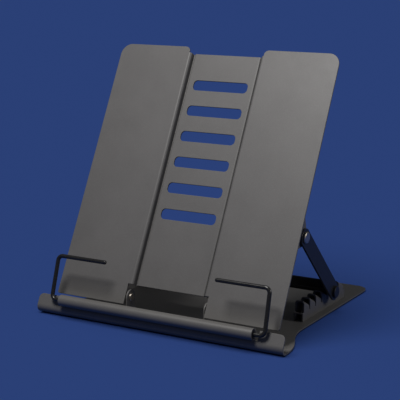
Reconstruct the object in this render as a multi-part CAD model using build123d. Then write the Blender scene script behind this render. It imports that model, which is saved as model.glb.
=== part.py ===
from build123d import *
import math
import os

# Desktop stand that holds an open album, book or document.
# Folded and pressed sheet steel, +Z up, X across the stand, -Y towards the reader.
# The origin is on the table, in the middle of the floor area that the stand covers.
# Every length is in millimetres and every angle in degrees.

# ---- sheet and overall sizes ----
sheet = 1.2                # thickness of the panel, base, brace and brackets
panel_width = 200.0
panel_height = 219.15      # bottom edge to top edge, along the panel
panel_lean = 27.3          # backwards from upright, in the notch where it rests
base_length = 206.4        # front of the lip's roll to the rear edge
base_width = 189.0         # behind the shoulders
ledge_width = 220.0
side_gap = 0.3             # between faces that turn past each other
fit_gap = 0.07             # round a pin in its hole
rim_rounding = 0.8         # share of a rivet head's height that is rounded over
overcut = 1.0              # how far a cutter runs past what it cuts

# ---- base plate and lip ----
lip_bend_radius = 5.0      # outside
lip_rise = 5.2             # flat stretch from the bend to the roll
roll_radius = 4.5          # outside
roll_wrap = 300.0
tab_rise = 9.0             # flat stretch of the plain ends, from the bend to their top
tab_corner = 4.0
roll_end_x = 86.4
lip_notch_width = 2.8      # between the roll and each plain end
lip_notch_floor = 1.1      # above the bend
lip_notch_corner = 1.26    # nearly a half round
shoulder_start = 148.0     # from the rear edge to where the base begins to widen
shoulder_end = 182.0       # from the rear edge to where it is as wide as the ledge
shoulder_radius = 60.0
base_corner = 10.0
pad_thickness = 0.8
pad_radius = 6.0
pad_inset = 13.0

# ---- panel ----
column_half_width = 34.2   # to the outer edge of the folds
fold_inside_radius = 0.7   # where the panel turns back at each fold
groove_width = 1.65        # between the walls of the groove pressed along each fold
groove_wall = 0.19         # straight part of its shallower wall
groove_flat = 0.05         # left level at the bottom of the groove
rim_inside_radius = 0.15   # where the groove meets the column
recess_depth = 3.46        # column's face behind the panel's
column_drop = 4.9          # top of the column below the top of the panel
outer_corner = 9.5
inner_corner = 4.0
foot_corner = 1.5
slot_count = 6
slot_length = 49.9
slot_height = 8.8
slot_pitch = 22.0
slot_corner = 3.4
top_slot_below_top = 32.0
window_half_width = 36.5
window_height = 16.75

# ---- main hinge, in the window ----
hinge_from_front = 27.3    # axis behind the front of the roll
hinge_height = 18.9
hinge_to_front_face = 6.0  # panel's front face ahead of the hinge axis
hinge_to_bottom_edge = 7.25
hinge_eye_radius = 6.0
hinge_tab_bend = 1.0       # radius at the front edge of each hinge tab
hinge_pin_radius = 2.0
hinge_head_radius = 3.2
hinge_head_height = 1.2
hinge_washer = 0.5
hinge_washer_radius = 4.4
slit_width = 1.0           # slit in the base at each side of a turned-up lug's root

# ---- strut frame ----
strut_pivot_up = 69.2      # from the main hinge, along the panel
strut_pivot_back = 20.0    # behind the panel's front face
arm_reach = 81.8           # strut pivot to rod
arm_width = 14.0
arm_thickness = 1.5
arm_outer_x = 95.4
rod_radius = 2.0
cap_radius = 4.9
cap_thickness = 2.0
cap_bore_depth = 1.2
cap_edge = 0.6
brace_width = 13.5
brace_above_rod = 3.5      # lower edge of the brace, along the arm
brace_tab = 6.2            # turned end of the brace, along the arm's inner face
brace_bend = 1.08          # outside
rivet_radius = 2.0
rivet_head_radius = 4.7
rivet_head_height = 1.5
rivet_tail_radius = 3.4
rivet_tail_height = 1.2
strut_washer = 0.5
strut_washer_radius = 5.6
bracket_below = 19.2       # root of the bracket below its pivot, along the panel
bracket_above = 28.8       # and above it
bracket_flange = 11.9
bracket_eye_radius = 7.0
heel_up = 10.8             # second rounded corner of the bracket: above the pivot
heel_forward = 4.5         # nearer the panel than the pivot
heel_radius = 3.1

# ---- toothed rails ----
tooth_count = 7
tooth_pitch = 11.2
rod_tooth = 5              # the rod rests in front of this tooth, counted from the front
rail_inner_x = 80.0
rail_width = 8.0
rail_height = 7.0
rail_sheet = 1.2
tooth_tip_height = 16.6    # above the base
roof_run = 9.4             # front to back
roof_drop = 4.5
tooth_run = 10.2           # tooth at its root, front to back
tooth_shoulder = 2.5
tooth_back_wall = 1.8      # sloping back of a tooth, measured level
rail_lead = 2.2            # rail ahead of the first tooth
rail_tail = 2.4            # rail behind the last tooth

# ---- page wires ----
wire_radius = 1.65
wire_bend = 4.0
wire_reach = 35.0          # roll's axis to the bar
wire_lean = 11.5           # upright forwards of the panel
wire_elbow_x = 95.3
wire_inward = 0.8          # upright's top nearer the middle than its foot
wire_bar = 45.5
wire_tip = 1.2             # rounding of the wire's ends
bush_length = 12.4
collar_radius = 2.8
collar_length = 3.0

sides = {"left": -1, "right": 1}
os.makedirs("parts", exist_ok=True)

# ---- places worked out from the sizes above ----
base_bottom = pad_thickness
base_top = base_bottom + sheet
rear_y = base_length / 2
hinge_y = hinge_from_front - base_length / 2
lean = math.radians(panel_lean)
panel_back = hinge_to_front_face - sheet
bottom_edge = -hinge_to_bottom_edge
top_edge = bottom_edge + panel_height
# Panel frame: x across, y up the panel, z forwards, origin on the hinge axis.
panel_frame = Plane(
    origin=(0, hinge_y, hinge_height), x_dir=(1, 0, 0), z_dir=(0, -math.cos(lean), math.sin(lean))
)
pivot_forward = hinge_to_front_face - strut_pivot_back
pivot_y = hinge_y + strut_pivot_up * math.sin(lean) - pivot_forward * math.cos(lean)
pivot_z = hinge_height + strut_pivot_up * math.cos(lean) + pivot_forward * math.sin(lean)
# The rod lies in front of its tooth, on the sloping roof of the one before it.
roof_grade = roof_drop / roof_run
roof_z = base_top + tooth_tip_height - roof_grade * (tooth_pitch - rod_radius - side_gap)
rod_z = roof_z + (rod_radius + side_gap) * math.hypot(1, roof_grade)
slope = math.asin((pivot_z - rod_z) / arm_reach)
rod_y = pivot_y + arm_reach * math.cos(slope)
arm_inner_x = arm_outer_x - arm_thickness
bracket_outer_x = arm_inner_x - strut_washer - side_gap
bracket_inner_x = bracket_outer_x - sheet
hinge_tab_x = window_half_width
lug_outer_x = hinge_tab_x - side_gap - hinge_washer
lug_inner_x = lug_outer_x - sheet
# Lip: its middle line rises from the bend's end, parallel to the panel.
lip_up = (math.sin(lean), math.cos(lean))
lip_out = (-math.cos(lean), math.sin(lean))
roll_middle = roll_radius - sheet / 2
bend_middle = lip_bend_radius - sheet / 2
bend_z = base_bottom + lip_bend_radius
roll_forward = bend_middle * math.cos(lean) - lip_rise * math.sin(lean) + roll_middle * math.cos(lean)
bend_y = roll_radius + roll_forward - base_length / 2


def along_lip(rise, out=0.0):
    """Point (y, z) so far up the lip's middle line from the bend, and so far out of it."""
    out += bend_middle
    return (bend_y + rise * lip_up[0] + out * lip_out[0], bend_z + rise * lip_up[1] + out * lip_out[1])


roll_y, roll_z = along_lip(lip_rise, roll_middle)


# ---- helpers ----
def block(x0, x1, y0, y1, z0, z1):
    """Box between two corners."""
    return Pos(x0, y0, z0) * Box(x1 - x0, y1 - y0, z1 - z0, align=(Align.MIN, Align.MIN, Align.MIN))


def rod_x(radius, x0, x1, y, z):
    """Cylinder along X."""
    bar = Cylinder(radius, x1 - x0, align=(Align.CENTER, Align.CENTER, Align.MIN))
    return Pos(x0, y, z) * Rot(0, 90, 0) * bar


def tube_x(inner, outer, x0, x1, y, z):
    """Washer, bush or collar along X."""
    return rod_x(outer, x0, x1, y, z) - rod_x(inner, x0 - overcut, x1 + overcut, y, z)


def plate_x(outline, x0, x1):
    """Outline in (y, z), standing from x0 to x1."""
    return Pos(x0, 0, 0) * extrude(Plane.YZ * outline, x1 - x0, dir=(1, 0, 0))


def dome(radius, height):
    """Rivet head standing on its flat face, with its rim rounded over."""
    disc = Cylinder(radius, height, align=(Align.CENTER, Align.CENTER, Align.MIN))
    return fillet(disc.edges().sort_by(Axis.Z)[-1], height * rim_rounding)


def at_side(shape, side):
    """The shape as built on the right, or its mirror image on the left."""
    return shape if side > 0 else mirror(shape, about=Plane.YZ)


# ---- base plate, lip and hinge lugs ----
def lip_section(rise, wrap):
    """Side section of the base and its turned-up front edge, rolled over by wrap degrees."""
    floor = Line((rear_y, base_bottom + sheet / 2), (bend_y, base_bottom + sheet / 2))
    bend = CenterArc((bend_y, bend_z), bend_middle, 270, -(90 + panel_lean))
    flat = Line(along_lip(0), along_lip(rise))
    section = trace(floor, sheet) + trace(bend, sheet) + trace(flat, sheet)
    if wrap:
        roll = CenterArc(along_lip(rise, roll_middle), roll_middle, -panel_lean, wrap)
        section += trace(roll, sheet)
    return section


def base_outline():
    """Plan of the base: straight sides, S-shaped shoulders, and the full ledge width in front."""
    half = base_width / 2
    ledge = ledge_width / 2
    right = [
        (half, rear_y), (half, rear_y - shoulder_start),
        (ledge, rear_y - shoulder_end), (ledge, -rear_y - overcut),
    ]
    face = make_face(Polyline(*right, *[(-x, y) for x, y in reversed(right)], close=True))
    shoulders = [v for v in face.vertices() if -rear_y < v.Y < rear_y - overcut]
    face = fillet(shoulders, shoulder_radius)
    rear = [v for v in face.vertices() if v.Y > rear_y - 0.01]
    return fillet(rear, base_corner)


def lip_plane(x):
    """Plane of the lip's middle line: x across, y up the lip from the bend."""
    return Plane(origin=(x, *along_lip(0)), x_dir=(1, 0, 0), z_dir=(0, *lip_out))


def tab_waste():
    """What rounds the outer top corner of a plain end of the lip."""
    square = Rectangle(tab_corner, tab_corner, align=(Align.MAX, Align.MAX))
    corner = square - Pos(-tab_corner, -tab_corner) * Circle(tab_corner)
    return extrude(lip_plane(ledge_width / 2) * Pos(0, tab_rise) * corner, sheet, both=True)


def lip_notch():
    """Gap between the roll and a plain end, with a round floor."""
    depth = tab_rise - lip_notch_floor
    slot = Rectangle(lip_notch_width, 2 * depth, align=(Align.MIN, Align.MIN))
    slot = fillet(slot.vertices().sort_by(Axis.Y)[:2], min(lip_notch_corner, 0.45 * lip_notch_width))
    return extrude(lip_plane(roll_end_x) * Pos(0, lip_notch_floor) * slot, sheet, both=True)


def hinge_lug():
    """Lug turned up from the base, beside the panel's hinge tab."""
    rise = hinge_height - base_top
    leg = Pos(hinge_y, base_top + rise / 2) * Rectangle(2 * hinge_eye_radius, rise)
    outline = Pos(hinge_y, hinge_height) * Circle(hinge_eye_radius) + leg
    return plate_x(outline, lug_inner_x, lug_outer_x)


def lug_window():
    """Opening that the lug was turned up out of, and the slits at its root."""
    reach = hinge_height + hinge_eye_radius - base_top
    y0, y1 = hinge_y - hinge_eye_radius, hinge_y + hinge_eye_radius
    z0, z1 = base_bottom - overcut, base_top + overcut
    opening = block(lug_inner_x - reach, lug_inner_x, y0, y1, z0, z1)
    front = block(lug_inner_x - slit_width, lug_outer_x, y0 - slit_width, y0, z0, z1)
    rear = block(lug_inner_x - slit_width, lug_outer_x, y1, y1 + slit_width, z0, z1)
    return opening + front + rear


def base_plate():
    """Base: one blank with its front edge turned up and over into a roll."""
    body = plate_x(lip_section(lip_rise, roll_wrap), -roll_end_x, roll_end_x)
    plain = lip_section(tab_rise, 0)
    for side in sides.values():
        tab = plate_x(plain, roll_end_x, ledge_width / 2) - tab_waste() - lip_notch()
        body += at_side(tab, side)
    body &= Pos(0, 0, base_bottom - overcut) * extrude(base_outline(), 2 * hinge_height)
    for side in sides.values():
        body -= at_side(lug_window(), side)
        body += at_side(hinge_lug(), side)
    pins = rod_x(hinge_pin_radius, -lug_outer_x - overcut, lug_outer_x + overcut, hinge_y, hinge_height)
    return body - pins


# ---- panel ----
def panel_section():
    """Section across the panel, in (x, forwards): flat sides, grooves and a sunk column."""
    middle = hinge_to_front_face - sheet / 2
    wall_x = column_half_width - fold_inside_radius - sheet / 2
    rim_x = wall_x - sheet - groove_width
    fold = fold_inside_radius + sheet / 2
    dip = (groove_width + sheet - groove_flat) / 2
    rim = rim_inside_radius + sheet / 2
    groove_depth = recess_depth + rim + groove_wall + dip
    right = [
        (rim_x, middle - recess_depth), (rim_x, middle - groove_depth),
        (wall_x, middle - groove_depth), (wall_x, middle), (panel_width / 2, middle),
    ]
    radii = [rim, dip, dip, fold]
    path = FilletPolyline(*[(-x, y) for x, y in reversed(right)], *right, radius=[*reversed(radii), *radii])
    return trace(path, sheet)


def side_outline():
    """Front view of the panel's right half: a side sheet and half of the column."""
    width = panel_width / 2 - column_half_width
    side = Pos(column_half_width, bottom_edge) * Rectangle(
        width, panel_height, align=(Align.MIN, Align.MIN)
    )
    low, high = side.vertices().sort_by(Axis.Y)[:2], side.vertices().sort_by(Axis.Y)[2:]
    side = fillet(high.sort_by(Axis.X)[-1], outer_corner)
    side = fillet(side.vertices().group_by(Axis.Y)[-1].sort_by(Axis.X)[0], inner_corner)
    side = fillet(side.vertices().group_by(Axis.Y)[0].sort_by(Axis.X)[-1], foot_corner)
    column = Pos(0, bottom_edge) * Rectangle(
        column_half_width, panel_height - column_drop, align=(Align.MIN, Align.MIN)
    )
    return side + column


def panel_outline():
    """Front view of the whole panel, with its slots and its window."""
    outline = side_outline() + mirror(side_outline(), about=Plane.YZ)
    for i in range(slot_count):
        y = top_edge - top_slot_below_top - i * slot_pitch
        outline -= Pos(0, y) * RectangleRounded(slot_length, slot_height, slot_corner)
    window = Pos(0, bottom_edge - overcut) * Rectangle(
        2 * window_half_width, window_height + overcut, align=(Align.CENTER, Align.MIN)
    )
    return outline - window


def hinge_tab():
    """Tab turned back from the window's side, round the hinge axis."""
    root = Rectangle(hinge_to_front_face, 2 * hinge_eye_radius, align=(Align.MIN, Align.CENTER))
    outline = Circle(hinge_eye_radius) + root - Circle(hinge_pin_radius + fit_gap)
    across = Plane(origin=(hinge_tab_x, 0, 0), x_dir=(0, 0, 1), z_dir=(1, 0, 0))
    tab = extrude(across * outline, sheet)
    front = [e for e in tab.edges() if e.center().Z > hinge_to_front_face - 0.01]
    bend = [e for e in front if abs(e.center().X - hinge_tab_x) < 0.01]
    return fillet(bend, hinge_tab_bend)


def back_panel():
    """Panel: one sheet with a sunk column, slots, a window and two hinge tabs."""
    foot = Plane(origin=(0, bottom_edge, 0), x_dir=(1, 0, 0), z_dir=(0, -1, 0))
    body = extrude(foot * panel_section(), panel_height, dir=(0, 1, 0))
    body &= extrude(panel_outline(), 2 * hinge_to_front_face, both=True)
    for side in sides.values():
        body += at_side(hinge_tab(), side)
    return panel_frame * body


# ---- main hinge pins ----
def hinge_rivet():
    """Rivet held in the base's lug, which the panel's tab turns on."""
    outside = hinge_tab_x + sheet + side_gap
    shank = rod_x(hinge_pin_radius, lug_inner_x, outside, hinge_y, hinge_height)
    head = Rot(0, -90, 0) * dome(hinge_head_radius, hinge_head_height)
    head = Pos(lug_inner_x, hinge_y, hinge_height) * head
    tail = rod_x(hinge_head_radius, outside, outside + hinge_head_height, hinge_y, hinge_height)
    return shank + head + tail


def hinge_washer_ring():
    """Washer between the lug and the panel's tab."""
    outside = lug_outer_x + hinge_washer
    return tube_x(hinge_pin_radius, hinge_washer_radius, lug_outer_x, outside, hinge_y, hinge_height)


# ---- strut frame ----
def strut_plane(x):
    """Plane of an arm's outline: x down the arm from its pivot, y across it."""
    return Plane(
        origin=(x, pivot_y, pivot_z), x_dir=(0, math.cos(slope), -math.sin(slope)), z_dir=(1, 0, 0)
    )


def strut_arm():
    """Flat bar with round ends, on its rivet at one end and round the rod at the other."""
    outline = Pos(arm_reach / 2, 0) * SlotCenterToCenter(arm_reach, arm_width)
    outline -= Circle(rivet_radius + fit_gap)
    outline -= Pos(arm_reach, 0) * Circle(rod_radius)
    return extrude(strut_plane(arm_inner_x) * outline, arm_thickness)


def support_rod():
    """Cross rod that drops into the notches, reaching into the cap on each arm."""
    end = arm_outer_x + cap_bore_depth
    return rod_x(rod_radius, -end, end, rod_y, rod_z)


def rod_cap():
    """Cap pressed on the rod's end, against the arm."""
    disc = rod_x(cap_radius, arm_outer_x, arm_outer_x + cap_thickness, rod_y, rod_z)
    disc = fillet(disc.edges().sort_by(Axis.X)[-1], cap_edge)
    return disc - rod_x(rod_radius, arm_inner_x, arm_outer_x + cap_bore_depth, rod_y, rod_z)


def cross_brace():
    """Strip between the arms, with its ends turned along their inner faces."""
    end = arm_inner_x
    width = Rectangle(2 * end, sheet)
    tabs = [
        Pos(side * (end - sheet / 2), brace_tab / 2) * Rectangle(sheet, brace_tab)
        for side in sides.values()
    ]
    section = width + tabs[0] + tabs[1]
    corners = [v for v in section.vertices() if abs(v.X) > end - 0.01 and v.Y < 0]
    section = fillet(corners, brace_bend)
    start = strut_plane(0).from_local_coords((arm_reach - brace_above_rod, 0, 0))
    along = Plane(origin=start, x_dir=(-1, 0, 0), z_dir=(0, -math.cos(slope), math.sin(slope)))
    return extrude(along * section, brace_width)


def strut_rivet():
    """Rivet held in the bracket, which the arm turns on."""
    inside = bracket_inner_x - rivet_tail_height
    outside = arm_outer_x + side_gap
    shank = rod_x(rivet_radius, inside, outside, pivot_y, pivot_z)
    head = Pos(outside, pivot_y, pivot_z) * Rot(0, 90, 0) * dome(rivet_head_radius, rivet_head_height)
    tail = rod_x(rivet_tail_radius, inside, bracket_inner_x, pivot_y, pivot_z)
    return shank + head + tail


def strut_washer_ring():
    """Washer between the bracket and the arm."""
    inner, outer = rivet_radius + fit_gap, strut_washer_radius
    return tube_x(inner, outer, arm_inner_x - strut_washer, arm_inner_x, pivot_y, pivot_z)


def strut_lug():
    """Bracket that carries the strut's pivot, with a flange welded to the panel's back."""
    low = strut_pivot_up - bracket_below
    high = strut_pivot_up + bracket_above
    eye = Pos(strut_pivot_up, -pivot_forward) * Circle(bracket_eye_radius)
    heel = Pos(strut_pivot_up + heel_up, -pivot_forward - heel_forward) * Circle(heel_radius)
    root = Line((low, -panel_back), (high, -panel_back))
    outline = make_hull([*eye.edges(), *heel.edges(), *root.edges()])
    outline -= Pos(strut_pivot_up, -pivot_forward) * Circle(rivet_radius)
    across = Plane(origin=(bracket_outer_x, 0, 0), x_dir=(0, 1, 0), z_dir=(-1, 0, 0))
    ear = extrude(across * outline, sheet)
    flange_x = bracket_outer_x - bracket_flange
    flange = block(flange_x, bracket_outer_x, low, high, panel_back - sheet, panel_back)
    return panel_frame * (ear + flange)


# ---- toothed rails ----
def tooth_front(index):
    """Front edge of a tooth: the rod lies just in front of its own tooth."""
    return rod_y + rod_radius + side_gap + (index - rod_tooth) * tooth_pitch


def tooth(front, wall, lead):
    """Hood pressed up out of the rail, open in front, or the hollow inside its wall."""
    back_wall = tooth_back_wall if wall else 0
    tip = base_top + tooth_tip_height - wall
    low = base_top + rail_height - rail_sheet - wall
    outline = Polyline(
        (front - lead, low), (front - lead, tip + lead * roof_grade),
        (front + roof_run - wall, tip - roof_drop + wall * roof_grade), (front + tooth_run - back_wall, low),
        close=True,
    )
    body = plate_x(make_face(outline), rail_inner_x + wall, rail_inner_x + rail_width - wall)
    sloping = [e for e in body.edges() if abs(e.tangent_at(0.5).X) < 0.01]
    roof = [e for e in sloping if e.center().Z > tip - roof_drop]
    return fillet(roof, tooth_shoulder - wall)


def tooth_rail():
    """Channel with a row of pressed-up hoods, welded to the base."""
    y0 = tooth_front(1) - rail_lead
    y1 = tooth_front(tooth_count) + tooth_run + rail_tail
    x0, x1 = rail_inner_x, rail_inner_x + rail_width
    top = base_top + rail_height
    rail = block(x0, x1, y0, y1, base_top, top)
    fronts = [tooth_front(i) for i in range(1, tooth_count + 1)]
    for front in fronts:
        rail += tooth(front, 0, 0)
    rail -= block(
        x0 + rail_sheet, x1 - rail_sheet, y0 - overcut, y1 + overcut, base_top - overcut, top - rail_sheet
    )
    for front in fronts:
        rail -= tooth(front, rail_sheet, rail_sheet)
    return rail


# ---- page wires ----
def page_wire():
    """Bent wire: tail in the roll, upright, and a bar over the page."""
    angle = lean - math.radians(wire_lean)
    top_y = roll_y + wire_reach * math.sin(angle)
    top_z = roll_z + wire_reach * math.cos(angle)
    elbow_top = wire_elbow_x - wire_inward
    path = FilletPolyline(
        (roll_end_x - bush_length - side_gap - collar_length, roll_y, roll_z),
        (wire_elbow_x, roll_y, roll_z), (elbow_top, top_y, top_z),
        (elbow_top - wire_bar, top_y, top_z), radius=wire_bend,
    )
    wire = sweep(Plane(origin=path @ 0, z_dir=path % 0) * Circle(wire_radius), path=path)
    return fillet(wire.edges().sort_by(Axis.X)[0], wire_tip)


def wire_bush():
    """Sleeve pressed in the end of the roll, which the wire turns in."""
    outer = roll_radius - sheet - fit_gap
    return tube_x(wire_radius + fit_gap, outer, roll_end_x - bush_length, roll_end_x, roll_y, roll_z)


def wire_collar():
    """Collar pressed on the wire's tail, which keeps it in its bush."""
    outside = roll_end_x - bush_length - side_gap
    return tube_x(wire_radius, collar_radius, outside - collar_length, outside, roll_y, roll_z)


# ---- build and write every piece ----
coat = Color(0.40, 0.39, 0.38)
dark = Color(0.10, 0.10, 0.11)
nickel = Color(0.75, 0.72, 0.66)
plastic = Color(0.05, 0.05, 0.05)


def save(shape, name, colour):
    """Write one node."""
    shape.label = name
    shape.color = colour
    export_step(shape, f"parts/{name}.step")


save(base_plate(), "base_plate", coat)
save(back_panel(), "back_panel", coat)
save(support_rod(), "support_rod", dark)
save(cross_brace(), "cross_brace", dark)
pair_pieces = {
    "tooth_rail": (tooth_rail(), coat),
    "hinge_rivet": (hinge_rivet(), nickel),
    "hinge_washer": (hinge_washer_ring(), nickel),
    "strut_lug": (strut_lug(), coat),
    "strut_arm": (strut_arm(), dark),
    "rod_cap": (rod_cap(), dark),
    "strut_rivet": (strut_rivet(), nickel),
    "strut_washer": (strut_washer_ring(), nickel),
    "page_wire": (page_wire(), dark),
    "wire_bush": (wire_bush(), plastic),
    "wire_collar": (wire_collar(), plastic),
}
pad = Cylinder(pad_radius, pad_thickness, align=(Align.CENTER, Align.CENTER, Align.MIN))
pad_x = base_width / 2 - pad_inset
for place, pad_y in {"front": bend_y + pad_inset, "rear": rear_y - pad_inset}.items():
    pair_pieces[f"foot_pad_{place}"] = (Pos(pad_x, pad_y, 0) * pad, plastic)
for piece, (shape, colour) in pair_pieces.items():
    for name, side in sides.items():
        save(at_side(shape, side), f"{piece}_{name}", colour)
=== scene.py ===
import math

import bpy
from mathutils import Matrix, Vector

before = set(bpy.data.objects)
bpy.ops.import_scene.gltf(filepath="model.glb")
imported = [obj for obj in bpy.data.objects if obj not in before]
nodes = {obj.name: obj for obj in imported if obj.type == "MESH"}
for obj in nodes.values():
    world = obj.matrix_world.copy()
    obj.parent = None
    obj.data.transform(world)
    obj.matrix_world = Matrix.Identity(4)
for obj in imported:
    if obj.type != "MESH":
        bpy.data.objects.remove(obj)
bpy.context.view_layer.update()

# ---- Base plate ----
# One blank of 1.2 mm steel, cut with shoulders, its front edge bent up and rolled over into the ledge.
# It is degreased and sprayed with a fine-textured powder coat, which is baked on after forming.
millimetre = 0.001
coat_grey = (0.118, 0.114, 0.112, 1.0)
# Pale colour of the grain's specks, and of the painted highlight along the edges.
coat_speck_and_edge_highlight = (0.30, 0.295, 0.285, 1.0)
coat_roughness = 0.46
coat_grain = 0.55 * millimetre
edge_round = 0.35 * millimetre


def add_node(tree, kind, **values):
    """One shader node, with the values of its properties."""
    node = tree.nodes.new(kind)
    for name, value in values.items():
        setattr(node, name, value)
    return node


def surface_noise(tree, place, size, detail=2.0, roughness=0.5):
    """Noise whose lumps are about this size, in metres, fixed in the piece."""
    noise = add_node(tree, "ShaderNodeTexNoise")
    noise.inputs["Scale"].default_value = 1.0 / size
    noise.inputs["Detail"].default_value = detail
    noise.inputs["Roughness"].default_value = roughness
    tree.links.new(place.outputs["Object"], noise.inputs["Vector"])
    return noise.outputs["Fac"]


def spread(tree, value, low, high, from_low=0.0, from_high=1.0):
    """A value spread between two others."""
    ramp = add_node(tree, "ShaderNodeMapRange")
    for socket, number in zip(("From Min", "From Max", "To Min", "To Max"), (from_low, from_high, low, high)):
        ramp.inputs[socket].default_value = number
    tree.links.new(value, ramp.inputs["Value"])
    return ramp.outputs["Result"]


def multiply(tree, first, second):
    """Product of two values."""
    node = add_node(tree, "ShaderNodeMath", operation="MULTIPLY")
    tree.links.new(first, node.inputs[0])
    tree.links.new(second, node.inputs[1])
    return node.outputs[0]


def blend_colours(tree, share, first, second):
    """Colour between two others."""
    mix = add_node(tree, "ShaderNodeMix", data_type="RGBA")
    tree.links.new(share, mix.inputs["Factor"])
    for socket, colour in ((mix.inputs[6], first), (mix.inputs[7], second)):
        if isinstance(colour, tuple):
            socket.default_value = colour
        else:
            tree.links.new(colour, socket)
    return mix.outputs[2]


def sprayed_finish(name, colour, speck_and_highlight, roughness, grain, bump):
    """Sprayed and baked coat: fine grain, faint clouding, and a painted highlight along the edges, in
    patches.
    """
    material = bpy.data.materials.new(name)
    material.use_nodes = True
    tree = material.node_tree
    shader = tree.nodes["Principled BSDF"]
    place = add_node(tree, "ShaderNodeTexCoord")

    # Painted highlight: the coat is painted lighter where the rounded normal turns away from the flat one, in
    # patches.
    full_edge_highlight, no_edge_highlight = 0.80, 0.985
    patch_size, patch_highlight = 4 * millimetre, 0.5
    rounded = add_node(tree, "ShaderNodeBevel", samples=6)
    rounded.inputs["Radius"].default_value = edge_round
    true_normal = add_node(tree, "ShaderNodeNewGeometry")
    turn = add_node(tree, "ShaderNodeVectorMath", operation="DOT_PRODUCT")
    tree.links.new(rounded.outputs["Normal"], turn.inputs[0])
    tree.links.new(true_normal.outputs["Normal"], turn.inputs[1])
    edge_highlight = spread(tree, turn.outputs["Value"], 1.0, 0.0, full_edge_highlight, no_edge_highlight)
    patches = spread(tree, surface_noise(tree, place, patch_size), 0.0, patch_highlight, 0.42, 0.62)

    # Wide clouds of slightly uneven colour, and pale specks in the grain.
    cloud_size, cloud_depth = 35 * millimetre, 0.05
    speck_size, speck_strength = 0.7 * grain, 0.22
    cloud = surface_noise(tree, place, cloud_size, detail=4.0)
    darker = tuple(c * (1 - cloud_depth) for c in colour[:3]) + (1.0,)
    lighter = tuple(c * (1 + cloud_depth) for c in colour[:3]) + (1.0,)
    body = blend_colours(tree, spread(tree, cloud, 0.0, 1.0, 0.35, 0.65), darker, lighter)
    speck = spread(tree, surface_noise(tree, place, speck_size), 0.0, speck_strength, 0.5, 0.72)
    body = blend_colours(tree, speck, body, speck_and_highlight)
    # Painted highlight: the edges are blended toward the pale colour, in patches.
    body = blend_colours(tree, multiply(tree, edge_highlight, patches), body, speck_and_highlight)
    tree.links.new(body, shader.inputs["Base Color"])

    # Uneven gloss, and the relief of the grain.
    gloss_size = 9 * millimetre
    gloss = spread(tree, surface_noise(tree, place, gloss_size), roughness - 0.04, roughness + 0.05)
    tree.links.new(gloss, shader.inputs["Roughness"])
    relief = add_node(tree, "ShaderNodeBump")
    relief.inputs["Strength"].default_value = bump
    relief.inputs["Distance"].default_value = 0.15 * grain
    tree.links.new(surface_noise(tree, place, grain, detail=2.0, roughness=0.6), relief.inputs["Height"])
    tree.links.new(rounded.outputs["Normal"], relief.inputs["Normal"])
    tree.links.new(relief.outputs["Normal"], shader.inputs["Normal"])
    return material


def finish_node(name, material):
    """Gives a carried-over piece its finish."""
    mesh = nodes[name].data
    mesh.materials.clear()
    mesh.materials.append(material)


textured_coat = sprayed_finish("textured_coat", coat_grey, coat_speck_and_edge_highlight, coat_roughness, coat_grain, bump=0.5)
finish_node("base_plate", textured_coat)

# ---- Tooth rails ----
# Channels of the same sheet with a row of hoods pressed up out of the top, spot-welded to the base.
# They are sprayed with the base.
for side in ("left", "right"):
    finish_node(f"tooth_rail_{side}", textured_coat)

# ---- Back panel and strut brackets ----
# One sheet, pressed with a sunk column and punched with slots and a window, and two flanged brackets
# spot-welded to its back. They are sprayed together.
finish_node("back_panel", textured_coat)
for side in ("left", "right"):
    finish_node(f"strut_lug_{side}", textured_coat)

# ---- Strut frame ----
# Two flat bars, a cross rod with pressed-on caps, and a strip brace between them.
# The brace's ends are welded to the bars, and the whole frame is sprayed a smoother black.
black_coat_colour = (0.013, 0.013, 0.014, 1.0)
# Pale colour of the grain's specks, and of the painted highlight along the edges.
black_coat_speck_and_edge_highlight = (0.055, 0.055, 0.055, 1.0)
black_coat = sprayed_finish(
    "black_coat", black_coat_colour, black_coat_speck_and_edge_highlight, roughness=0.36, grain=0.8 * millimetre, bump=0.18
)
for name in ("support_rod", "cross_brace"):
    finish_node(name, black_coat)
for side in ("left", "right"):
    finish_node(f"strut_arm_{side}", black_coat)
    finish_node(f"rod_cap_{side}", black_coat)

# ---- Rivets and washers ----
# Turned steel, tumbled and nickel-plated, and set through the lugs and brackets after spraying.
# They keep a warm satin shine, with fine marks and duller patches.
nickel_colour = (0.60, 0.54, 0.46, 1.0)
nickel_roughness = 0.34


def plated_finish(name, colour, roughness):
    """Satin plating with fine handling marks and duller patches."""
    material = bpy.data.materials.new(name)
    material.use_nodes = True
    tree = material.node_tree
    shader = tree.nodes["Principled BSDF"]
    shader.inputs["Metallic"].default_value = 1.0
    place = add_node(tree, "ShaderNodeTexCoord")
    patch_size, dulling, mark_size = 1.6 * millimetre, 0.55, 0.5 * millimetre
    tarnish = spread(tree, surface_noise(tree, place, patch_size, detail=4.0), 0.0, 0.5, 0.4, 0.7)
    dull = tuple(c * dulling for c in colour[:3]) + (1.0,)
    tree.links.new(blend_colours(tree, tarnish, colour, dull), shader.inputs["Base Color"])
    gloss = spread(tree, surface_noise(tree, place, mark_size), roughness - 0.08, roughness + 0.12)
    tree.links.new(gloss, shader.inputs["Roughness"])
    rounded = add_node(tree, "ShaderNodeBevel", samples=4)
    rounded.inputs["Radius"].default_value = 0.2 * millimetre
    relief = add_node(tree, "ShaderNodeBump")
    relief.inputs["Strength"].default_value = 0.25
    relief.inputs["Distance"].default_value = 0.05 * millimetre
    tree.links.new(surface_noise(tree, place, 0.3 * millimetre), relief.inputs["Height"])
    tree.links.new(rounded.outputs["Normal"], relief.inputs["Normal"])
    tree.links.new(relief.outputs["Normal"], shader.inputs["Normal"])
    return material


nickel_plate = plated_finish("nickel_plate", nickel_colour, nickel_roughness)
for side in ("left", "right"):
    for piece in ("hinge_rivet", "hinge_washer", "strut_rivet", "strut_washer"):
        finish_node(f"{piece}_{side}", nickel_plate)

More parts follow.
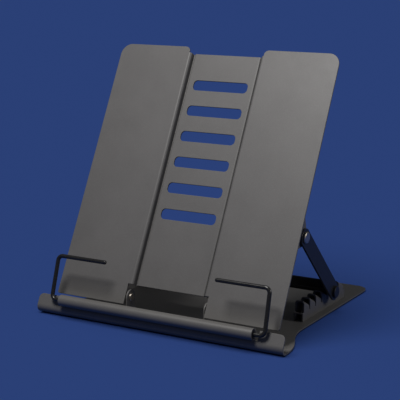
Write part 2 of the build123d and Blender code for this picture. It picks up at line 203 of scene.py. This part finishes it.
# ---- Page wires ----
# Steel wire, cut, bent twice and given a smooth black coat.
# Each turns in a plastic bush in the end of the ledge's roll.
wire_coat = sprayed_finish(
    "wire_coat", black_coat_colour, black_coat_speck_and_edge_highlight, roughness=0.28, grain=1.5 * millimetre, bump=0.08
)
for side in ("left", "right"):
    finish_node(f"page_wire_{side}", wire_coat)

# ---- Bushes, collars and foot pads ----
# The bushes and the collars behind them are moulded black plastic, pushed into the ends of the roll.
# The pads are thin black rubber, stuck under the base.
plastic_colour = (0.02, 0.02, 0.021, 1.0)


def moulded_finish(name, colour, roughness):
    """Matt moulded surface with a faint spark-eroded grain."""
    material = bpy.data.materials.new(name)
    material.use_nodes = True
    tree = material.node_tree
    shader = tree.nodes["Principled BSDF"]
    place = add_node(tree, "ShaderNodeTexCoord")
    cloud_size, cloud_lift = 3 * millimetre, 1.6
    gloss_size, grain = 1.2 * millimetre, 0.25 * millimetre
    lighter = tuple(c * cloud_lift for c in colour[:3]) + (1.0,)
    cloud = spread(tree, surface_noise(tree, place, cloud_size, detail=3.0), 0.0, 1.0, 0.3, 0.7)
    tree.links.new(blend_colours(tree, cloud, colour, lighter), shader.inputs["Base Color"])
    gloss = spread(tree, surface_noise(tree, place, gloss_size), roughness - 0.06, roughness + 0.06)
    tree.links.new(gloss, shader.inputs["Roughness"])
    relief = add_node(tree, "ShaderNodeBump")
    relief.inputs["Strength"].default_value = 0.3
    relief.inputs["Distance"].default_value = 0.04 * millimetre
    tree.links.new(surface_noise(tree, place, grain), relief.inputs["Height"])
    tree.links.new(relief.outputs["Normal"], shader.inputs["Normal"])
    return material


moulded_plastic = moulded_finish("moulded_plastic", plastic_colour, roughness=0.5)
foot_rubber = moulded_finish("foot_rubber", plastic_colour, roughness=0.8)
for side in ("left", "right"):
    finish_node(f"wire_bush_{side}", moulded_plastic)
    finish_node(f"wire_collar_{side}", moulded_plastic)
    for place in ("front", "rear"):
        finish_node(f"foot_pad_{place}_{side}", foot_rubber)

# ---- Studio floor ----
# Matt blue paper laid flat under the stand.
# It is wide enough that the camera sees nothing past it.
floor_radius = 12.0
floor_sides = 96
paper_blue = (0.044, 0.094, 0.33, 1.0)
bpy.ops.object.select_all(action="DESELECT")
bpy.ops.mesh.primitive_circle_add(vertices=floor_sides, radius=floor_radius, fill_type="NGON")
studio_floor = bpy.context.object
studio_floor.name = "studio_floor"
paper = bpy.data.materials.new("blue_paper")
paper.use_nodes = True
paper_shader = paper.node_tree.nodes["Principled BSDF"]
paper_shader.inputs["Base Color"].default_value = paper_blue
paper_shader.inputs["Roughness"].default_value = 1.0
paper_shader.inputs["Specular IOR Level"].default_value = 0.0
studio_floor.data.materials.append(paper)

# ---- Studio lights ----
# A close soft box ahead and above lights the stand and leaves the base in the panel's shade, and a weak
# one on the right picks out the edges. A broad even light falls on the paper alone, and the sky is dim.
stand_middle = Vector((0.0, 0.0, 0.10))
warm_white = (1.0, 0.985, 0.96)
cool_white = (0.9, 0.93, 1.0, 1.0)


def aim(light, place, link_state):
    """Puts a light at a place, facing the stand, and includes or excludes the paper."""
    light.location = place
    light.rotation_mode = "QUATERNION"
    light.rotation_quaternion = (stand_middle - Vector(place)).to_track_quat("-Z", "Y")
    bpy.context.scene.collection.objects.link(light)
    linked = bpy.data.collections.new(f"{light.name}_paper")
    linked.objects.link(studio_floor)
    linked.collection_objects[0].light_linking.link_state = link_state
    light.light_linking.receiver_collection = linked


def soft_box(name, width, height, power, place):
    """Rectangular light that lights the stand and leaves the paper out."""
    lamp = bpy.data.lights.new(name, "AREA")
    lamp.shape = "RECTANGLE"
    lamp.size = width
    lamp.size_y = height
    lamp.energy = power
    lamp.color = warm_white
    light = bpy.data.objects.new(name, lamp)
    light.visible_camera = False
    aim(light, place, "EXCLUDE")


soft_box("key_box", width=0.22, height=0.30, power=4.6, place=(-0.05, -0.37, 0.74))
soft_box("edge_box", width=0.16, height=0.30, power=1.3, place=(0.70, 0.10, 0.40))
even_lamp = bpy.data.lights.new("even_light", "SUN")
even_lamp.energy = 1.65
even_lamp.angle = math.radians(60.0)
aim(bpy.data.objects.new("even_light", even_lamp), (-0.10, -0.40, 1.10), "INCLUDE")
world = bpy.data.worlds.new("dim_sky")
world.use_nodes = True
sky = world.node_tree.nodes["Background"]
sky.inputs["Color"].default_value = cool_white
sky.inputs["Strength"].default_value = 0.06
bpy.context.scene.world = world
bpy.context.scene.view_settings.view_transform = "Standard"

# ---- Camera ----
# It stands to the reader's right of the stand, a little above it and about a metre away.
# It has a long lens, and leans very slightly to one side.
camera_place = (0.4706, -0.8470, 0.2865)
lens_length = 108.69
sensor_width = 36.0
azimuth = math.radians(29.86)
elevation = math.radians(11.61)
camera_roll = math.radians(0.22)
back = Vector((
    math.sin(azimuth) * math.cos(elevation), -math.cos(azimuth) * math.cos(elevation), math.sin(elevation)
))
level = Vector((math.cos(azimuth), math.sin(azimuth), 0.0))
upright = back.cross(level)
across = level * math.cos(camera_roll) + upright * math.sin(camera_roll)
above = upright * math.cos(camera_roll) - level * math.sin(camera_roll)
camera_data = bpy.data.cameras.new("camera")
camera_data.sensor_width = sensor_width
camera_data.lens = lens_length
camera = bpy.data.objects.new("camera", camera_data)
facing = Matrix((across, above, back)).transposed()
camera.matrix_world = Matrix.Translation(camera_place) @ facing.to_4x4()
bpy.context.scene.collection.objects.link(camera)
bpy.context.scene.camera = camera
